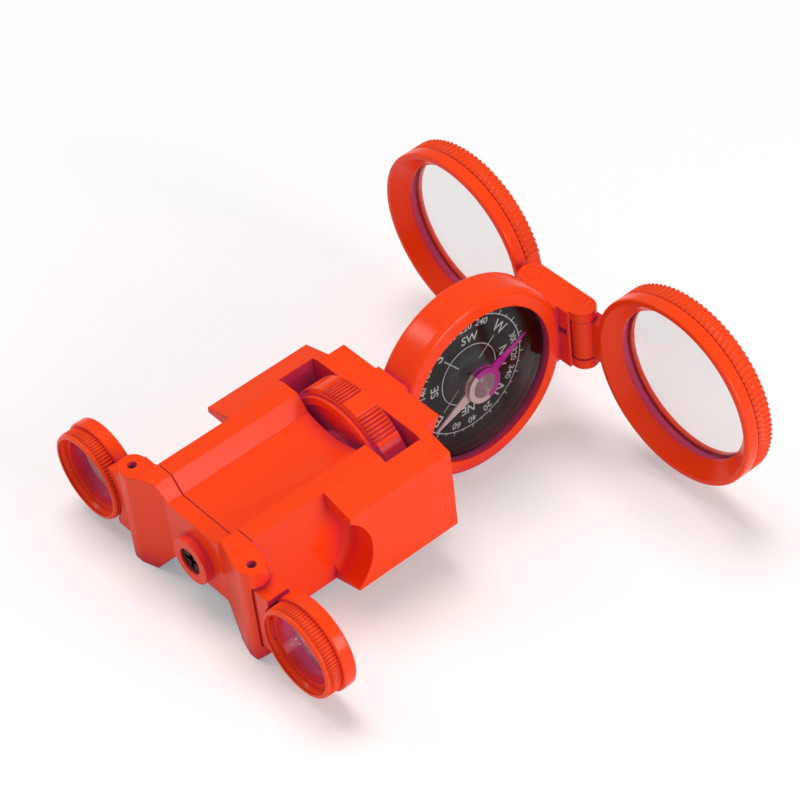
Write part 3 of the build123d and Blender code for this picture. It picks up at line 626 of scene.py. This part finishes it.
def print_line(degrees, start, end):
    """A printed line along a radius."""
    angle = bearing(degrees)
    bar = bmesh.new()
    bmesh.ops.create_cube(bar, size=1.0)
    mesh = bpy.data.meshes.new("line")
    bar.to_mesh(mesh)
    bar.free()
    size = Matrix.Diagonal(((end - start) * MM, INK_THICKNESS * MM, 2 * INK_LINE * MM, 1))
    middle = (start + end) / 2
    spot = Vector((dial_centre.x + middle * math.cos(angle), print_face,
                   dial_centre.z + middle * math.sin(angle))) * MM
    mesh.transform(Matrix.Translation(spot) @ Matrix.Rotation(-angle, 4, "Y") @ size)
    add_to_print(mesh)


print_circle(OUTER_CIRCLE)
print_circle(INNER_CIRCLE)
for cardinal, degrees in (("N", 0), ("E", 90), ("S", 180), ("W", 270)):
    print_text(cardinal, degrees, CARDINAL_RING, CARDINAL_HEIGHT)
    print_line(degrees, *CARDINAL_LINE)
for corner, degrees in (("NE", 45), ("SE", 135), ("SW", 225), ("NW", 315)):
    print_text(corner, degrees, CORNER_RING, CORNER_HEIGHT)
for degrees in range(20, 360, 20):
    if degrees not in (80, 100, 180, 260, 280):     # the cardinal letters stand there
        print_text(str(degrees), degrees, FIGURE_RING, FIGURE_HEIGHT)
for degrees in range(0, 360, 10):
    tick = LONG_TICK if degrees % 20 == 0 else SHORT_TICK
    print_line(degrees, OUTER_CIRCLE + TICK_START, OUTER_CIRCLE + tick)
print_mesh = bpy.data.meshes.new("dial_printing")
printed.to_mesh(print_mesh)
printed.free()
place_piece("dial_printing", print_mesh, "body", material=white_ink)


# ---------------------------------------------------------------- needle
# Stamped steel needle, one half sprayed fluorescent magenta and the other a pale pink-white,
# with a round hub ring in both colours and a clear bearing cap turned with fine rings.
def sprayed_paint(name, near, far):
    """Thin gloss paint over steel: a slight mist of the darker tone and a fine orange peel."""
    made, tree = new_material(name)
    place = node(tree, "ShaderNodeTexCoord").outputs["Object"]
    mist = node(tree, "ShaderNodeTexNoise", {
        "Vector": place, "Scale": 1 / (0.7 * MM), "Detail": 3.0})
    tone = node(tree, "ShaderNodeMix", {
        0: mist.outputs[0], 6: colour(near), 7: colour(far)}, data_type="RGBA")
    peel = node(tree, "ShaderNodeBump", {
        "Height": mist.outputs[0], "Strength": 0.2, "Distance": 0.01 * MM})
    shader = node(tree, "ShaderNodeBsdfPrincipled", {
        "Base Color": tone.outputs[2], "Roughness": 0.32, "Normal": peel.outputs["Normal"]})
    node(tree, "ShaderNodeOutputMaterial", {"Surface": shader.outputs[0]})
    return made


# Strong flat magenta on the north half, off-white pink on the south, both with a soft shine.
magenta_paint = sprayed_paint("magenta_fluorescent_paint", "E01AB4", "C40F97")
pale_paint = sprayed_paint("pale_pink_paint", "F6DFDD", "E6BFC0")
finish_cad(magenta_paint, "needle_north")
finish_cad(pale_paint, "needle_south")

NEEDLE_ANGLE = 23.7             # degrees from +X towards +Z
HUB_SPLIT = -0.4                # the two paints meet this far south of the middle
hub_low, hub_high = box_mm("needle_hub")
hub_r = (hub_high.z - hub_low.z) / 2
blade_low, blade_high = box_mm("needle_north")
HUB_BORE = 2.7                  # the bearing cap fills the ring
HUB_LIFT = 1.1                  # the ring's rim stands in front of the blades on a dished skirt
hub_centre = (dial_centre.x, blade_low.y, dial_centre.z)
blade_thick = blade_high.y - blade_low.y
hub_ring = lathe([(-HUB_LIFT, HUB_BORE), (-HUB_LIFT, hub_r - 0.15), (0.06 - HUB_LIFT, hub_r),
                  (0.25 - HUB_LIFT, hub_r), (0.6 - HUB_LIFT, hub_r - 0.5), (-0.1, hub_r - 0.4),
                  (0.0, hub_r), (blade_thick, hub_r), (blade_thick, HUB_BORE)],
                 "Y", hub_centre, 96)
hub_ring.materials.append(magenta_paint)
hub_ring.materials.append(pale_paint)
turn = math.radians(NEEDLE_ANGLE)
toward_north = Vector((math.cos(turn), 0, math.sin(turn)))
for polygon in hub_ring.polygons:
    offset = polygon.center - Vector(hub_centre) * MM
    polygon.material_index = 0 if offset.dot(toward_north) > HUB_SPLIT * MM else 1
place_piece("needle_hub_ring", hub_ring, "needle", ["needle_hub"])

cap_front = hub_low.y - blade_low.y
cap_rings = [(0.0, HUB_BORE), (-1.0, HUB_BORE), (-1.12, 2.5), (-1.0, 2.3), (-1.15, 2.1),
             (-1.02, 1.9), (-1.2, 1.65), (-1.05, 1.45), (-1.28, 1.2), (-1.1, 1.0),
             (cap_front, 0.75), (cap_front, 0.4), (cap_front + 0.15, 0.01), (-0.95, 0.01),
             (-0.9, 0.52), (blade_thick, 0.52), (blade_thick, 1.0), (0.0, 1.0)]
cap_mesh = lathe(cap_rings, "Y", hub_centre, 72)


def rose_cap(name):
    """Rose-tinted clear plastic, cloudy enough to show its turned rings."""
    made, tree = new_material(name)
    place = node(tree, "ShaderNodeTexCoord").outputs["Object"]
    cloud = node(tree, "ShaderNodeTexNoise", {
        "Vector": place, "Scale": 1 / (1.2 * MM), "Detail": 2.0})
    tone = node(tree, "ShaderNodeMix", {
        0: cloud.outputs[0], 6: colour("F0C6D2"), 7: colour("A8788C")}, data_type="RGBA")
    relief = node(tree, "ShaderNodeBump", {
        "Height": cloud.outputs[0], "Strength": 0.3, "Distance": 0.05 * MM})
    skin = node(tree, "ShaderNodeBsdfPrincipled", {
        "Base Color": tone.outputs[2], "Roughness": 0.12, "Normal": relief.outputs["Normal"]})
    clear = node(tree, "ShaderNodeBsdfTransparent", {"Color": colour("E8C4D2")})
    density = node(tree, "ShaderNodeMapRange", {
        "Value": cloud.outputs[0], "To Min": 0.45, "To Max": 0.75})
    both = node(tree, "ShaderNodeMixShader", {
        0: density.outputs[0], 1: clear.outputs[0], 2: skin.outputs[0]})
    node(tree, "ShaderNodeOutputMaterial", {"Surface": both.outputs[0]})
    return made


place_piece("needle_bearing_cap", cap_mesh, "needle",
            material=rose_cap("cap_plastic_rose_tinted"))


# ---------------------------------------------------------------- table and light
# The object stands on the bar's feet and the compass case's lower edge, so the table is
# tilted against its axes. White paper sweep, one broad sun-soft lamp and two soft boxes.
CASE_R = 20.3                   # outside of the compass case
FOOT_SETBACK = 0.4              # the bar's feet touch just behind their front edge
SHEET_GAP = 0.05                # keeps the sheet clear of the feet
bar_low = box_mm("eyepiece_bar")[0]
case_middle = middle_of("compass_cover")
foot = Vector((bar_low.x + FOOT_SETBACK, 0, bar_low.z))
reach = Vector((case_middle.x - foot.x, 0, -foot.z))
slope = math.asin(CASE_R / reach.length) - math.atan2(reach.z, reach.x)
table_up = Vector((math.sin(slope), 0, math.cos(slope)))
sheet_mesh = bpy.data.meshes.new("paper_sweep")
across = Vector((0, 1, 0))
along = across.cross(table_up)
ground = (foot - table_up * SHEET_GAP) * MM
corners = [ground + along * a + across * b for a, b in ((-3, -3), (3, -3), (3, 3), (-3, 3))]
sheet_mesh.from_pydata([tuple(c) for c in corners], [], [(0, 1, 2, 3)])
paper_sweep = bpy.data.objects.new("paper_sweep", sheet_mesh)
scene.collection.objects.link(paper_sweep)
paper_sweep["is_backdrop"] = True

# Matt white paper with a faint fibre mottle. The warm sheet and its cool glow, which only
# the camera sees, balance to white in the light and near neutral in shadow.
white_paper, tree = new_material("white_paper")
place = node(tree, "ShaderNodeTexCoord").outputs["Object"]
fibre = node(tree, "ShaderNodeTexNoise", {
    "Vector": place, "Scale": 1 / (1.5 * MM), "Detail": 2.0})
tone = node(tree, "ShaderNodeMix", {
    0: fibre.outputs[0], 6: colour("F2DEDE"), 7: colour("F0DCDC")}, data_type="RGBA")
paper = node(tree, "ShaderNodeBsdfPrincipled", {
    "Base Color": tone.outputs[2], "Roughness": 0.9, "Specular IOR Level": 0.1})
glow = node(tree, "ShaderNodeEmission", {"Color": colour("6F9292")})
lift = node(tree, "ShaderNodeMixShader", {
    0: node(tree, "ShaderNodeLightPath").outputs["Is Camera Ray"], 2: glow.outputs[0]})
lit = node(tree, "ShaderNodeAddShader", {0: paper.outputs[0], 1: lift.outputs[0]})
node(tree, "ShaderNodeOutputMaterial", {"Surface": lit.outputs[0]})
sheet_mesh.materials.append(white_paper)

# White studio round the object: dimmer as light and in reflections than to the camera.
world = bpy.data.worlds.new("studio")
scene.world = world
world.use_nodes = True
tree = world.node_tree
tree.nodes.clear()
ray = node(tree, "ShaderNodeLightPath").outputs
dim = node(tree, "ShaderNodeBackground", {"Color": colour("FFFFFF"), "Strength": 0.32})
glint = node(tree, "ShaderNodeBackground", {"Color": colour("FFFFFF"), "Strength": 0.3})
white = node(tree, "ShaderNodeBackground", {"Color": colour("FFFFFF"), "Strength": 1.0})
mirrored = node(tree, "ShaderNodeMixShader", {
    0: ray["Is Glossy Ray"], 1: dim.outputs[0], 2: glint.outputs[0]})
studio = node(tree, "ShaderNodeMixShader", {
    0: ray["Is Camera Ray"], 1: mirrored.outputs[0], 2: white.outputs[0]})
node(tree, "ShaderNodeOutputWorld", {"Surface": studio.outputs[0]})


def soft_lamp(name, kind, toward, strength, **settings):
    """A lamp that shines from the given direction onto the object's middle."""
    data = bpy.data.lights.new(name, kind)
    data.energy = strength
    for key, value in settings.items():
        setattr(data, key, value)
    lamp = bpy.data.objects.new(name, data)
    lamp.location = Vector(toward)
    lamp.rotation_mode = "QUATERNION"
    lamp.rotation_quaternion = Vector(toward).to_track_quat("Z", "Y")
    scene.collection.objects.link(lamp)
    return lamp


overhead = soft_lamp("overhead", "SUN", (0.15, 0.30, 0.93), 1.6, angle=math.radians(36))
overhead.visible_glossy = False
soft_lamp("right_soft_box", "AREA", (0.10, -0.62, 0.22), 2.0,
          shape="RECTANGLE", size=0.35, size_y=0.3)
soft_lamp("rear_soft_box", "AREA", (-0.25, 0.45, 0.50), 0.5,
          shape="RECTANGLE", size=0.14, size_y=0.2)


# ---------------------------------------------------------------- end
low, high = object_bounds()
